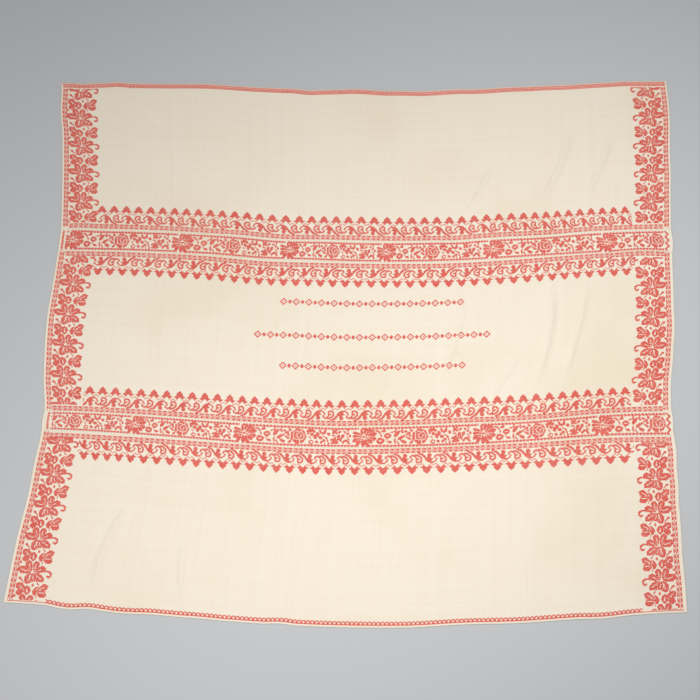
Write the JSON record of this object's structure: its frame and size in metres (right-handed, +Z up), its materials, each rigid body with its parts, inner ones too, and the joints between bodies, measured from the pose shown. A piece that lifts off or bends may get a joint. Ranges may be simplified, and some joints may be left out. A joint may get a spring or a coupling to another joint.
{
  "type": "tablecloth",
  "caption": "Cross-stitched linen tablecloth, laid flat: wide panels joined by narrow flowered bands, with flower, scroll and crown borders.",
  "frame": {"origin": "under the middle of the cloth's outline, on the surface it lies on", "axes": "+Z up, +X to the right along the seams, +Y towards the back edge, the one with the narrow lattice edging"},
  "size_m": [1.7022, 1.476, 0.0069],
  "materials": {
    "linen": "matt cream homespun linen in plain weave, unevenly spun",
    "cross_stitch": "soft red cotton marking thread in cross stitch, a little faded",
    "sewing_thread": "undyed linen sewing thread"
  },
  "bodies": {
    "root": {"back_panel": "linen", "back_band": "linen", "middle_panel": "linen", "front_band": "linen", "front_panel": "linen"}
  },
  "joints": []
}
